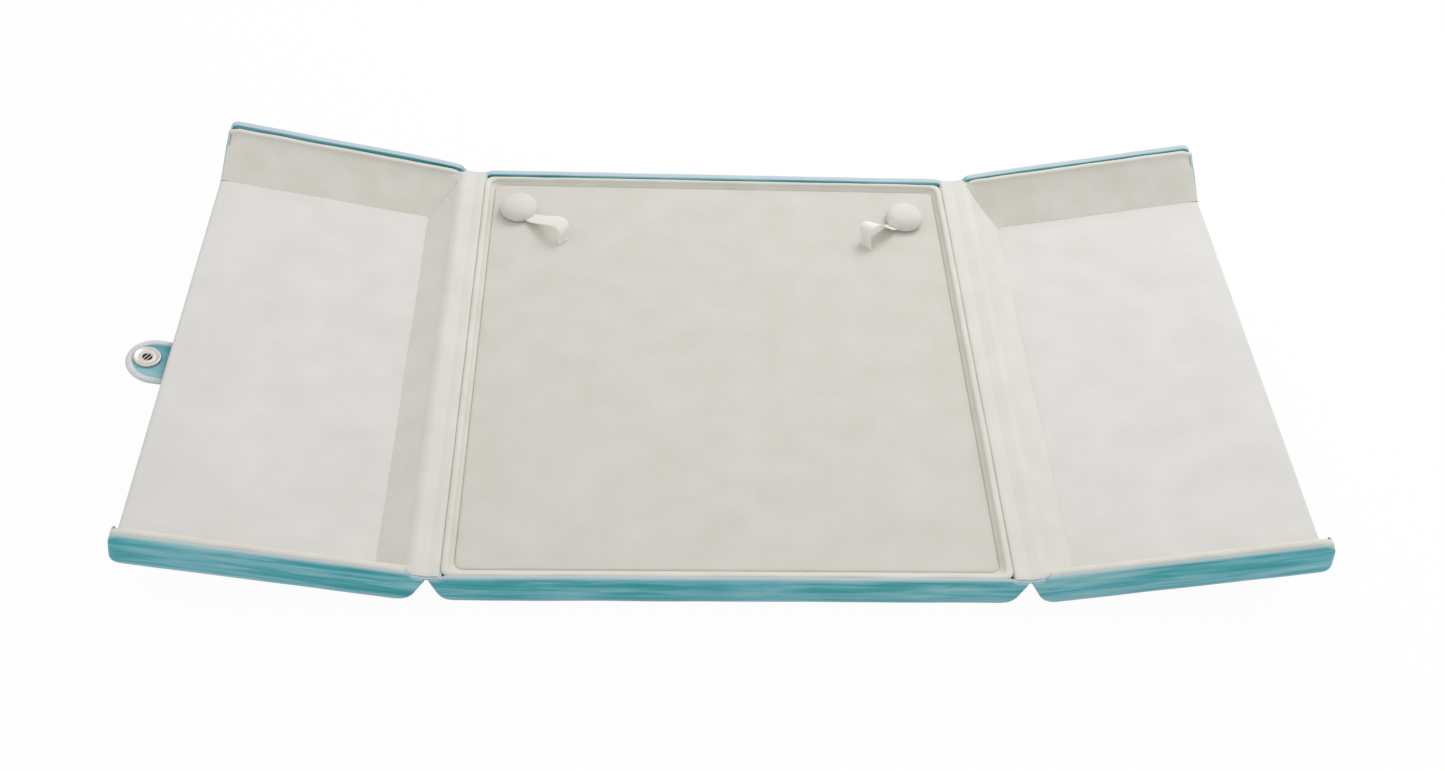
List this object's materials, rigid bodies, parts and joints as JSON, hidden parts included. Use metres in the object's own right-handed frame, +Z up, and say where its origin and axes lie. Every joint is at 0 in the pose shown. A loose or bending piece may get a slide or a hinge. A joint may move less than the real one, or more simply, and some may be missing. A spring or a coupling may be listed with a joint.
{
  "type": "necklace box",
  "caption": "Flat necklace box: a shallow tray with a padded display insert, a hinged tray-shaped door at each side, snap straps for chains and a snap closing tab.",
  "frame": {"origin": "centre of the base tray's underside, on the surface that it stands on", "axes": "+X to the right across both doors, +Y away from the viewer along the hinges, +Z up"},
  "size_m": [0.395, 0.2, 0.0367],
  "materials": {
    "velvet": "short-pile velvet",
    "cream_lining": "smooth lining cloth",
    "cream_pad": "brushed suede cloth",
    "cream_ribbon": "satin ribbon",
    "greyboard": "pressed paper board",
    "foam": "open-cell foam",
    "nickel": "nickel plate"
  },
  "bodies": {
    "base": {"base_cover": "velvet", "base_shell": "greyboard", "base_rim_lining": "cream_lining", "base_left_rail": "greyboard", "base_right_rail": "greyboard", "left_hinge_cloth_base_leaf": "velvet", "right_hinge_cloth_base_leaf": "velvet", "left_hinge_lining_base_leaf": "cream_lining", "right_hinge_lining_base_leaf": "cream_lining", "pad_board": "greyboard", "pad_foam": "foam", "pad_cover": "cream_pad", "left_strap_anchor": "cream_ribbon", "left_strap_post": "nickel", "left_strap_post_washer": "nickel", "right_strap_anchor": "cream_ribbon", "right_strap_post": "nickel", "right_strap_post_washer": "nickel"},
    "left_door": {"left_door_cover": "velvet", "left_door_shell": "greyboard", "left_door_floor_pad": "cream_pad", "left_door_back_lining": "cream_lining", "left_door_back_filler": "foam", "left_door_front_lining": "cream_lining", "left_door_front_filler": "foam", "left_door_hinge_lining": "cream_lining", "left_door_hinge_filler": "foam", "left_hinge_cloth_door_leaf": "velvet", "closure_tab_root": "velvet"},
    "right_door": {"right_door_cover": "velvet", "right_door_shell": "greyboard", "right_door_floor_pad": "cream_pad", "right_door_back_lining": "cream_lining", "right_door_back_filler": "foam", "right_door_front_lining": "cream_lining", "right_door_front_filler": "foam", "right_door_hinge_lining": "cream_lining", "right_door_hinge_filler": "foam", "right_hinge_cloth_door_leaf": "velvet", "closure_stud": "nickel", "closure_stud_washer": "nickel"},
    "closure_tab": {"closure_tab_inner_cloth": "velvet", "closure_tab_outer_cloth": "velvet", "closure_tab_snap_socket": "nickel", "closure_tab_snap_cap": "nickel"},
    "left_strap": {"left_strap": "cream_ribbon", "left_strap_button": "cream_pad", "left_strap_snap_socket": "nickel"},
    "right_strap": {"right_strap": "cream_ribbon", "right_strap_button": "cream_pad", "right_strap_snap_socket": "nickel"}
  },
  "joints": [
    {"name": "left_door_hinge", "type": "hinge", "parent": "base", "child": "left_door", "pos_m": [-0.095, 0, 0.017], "axis": [0, -1, 0], "range_deg": [-167.6, 0]},
    {"name": "right_door_hinge", "type": "hinge", "parent": "base", "child": "right_door", "pos_m": [0.095, 0, 0.017], "axis": [0, 1, 0], "range_deg": [-168.3, 0]},
    {"name": "closure_tab_hinge", "type": "hinge", "parent": "left_door", "child": "closure_tab", "pos_m": [-0.1875, -0.01, 0.01589], "axis": [0, -1, 0], "range_deg": [0, 80]},
    {"name": "left_strap_hinge", "type": "hinge", "parent": "base", "child": "left_strap", "pos_m": [-0.0593, 0.0599, 0.01422], "axis": [0.7011, 0.7131, 0], "range_deg": [0, 90]},
    {"name": "right_strap_hinge", "type": "hinge", "parent": "base", "child": "right_strap", "pos_m": [0.057, 0.06, 0.01426], "axis": [0.689, -0.7248, 0], "range_deg": [0, 90]}
  ]
}
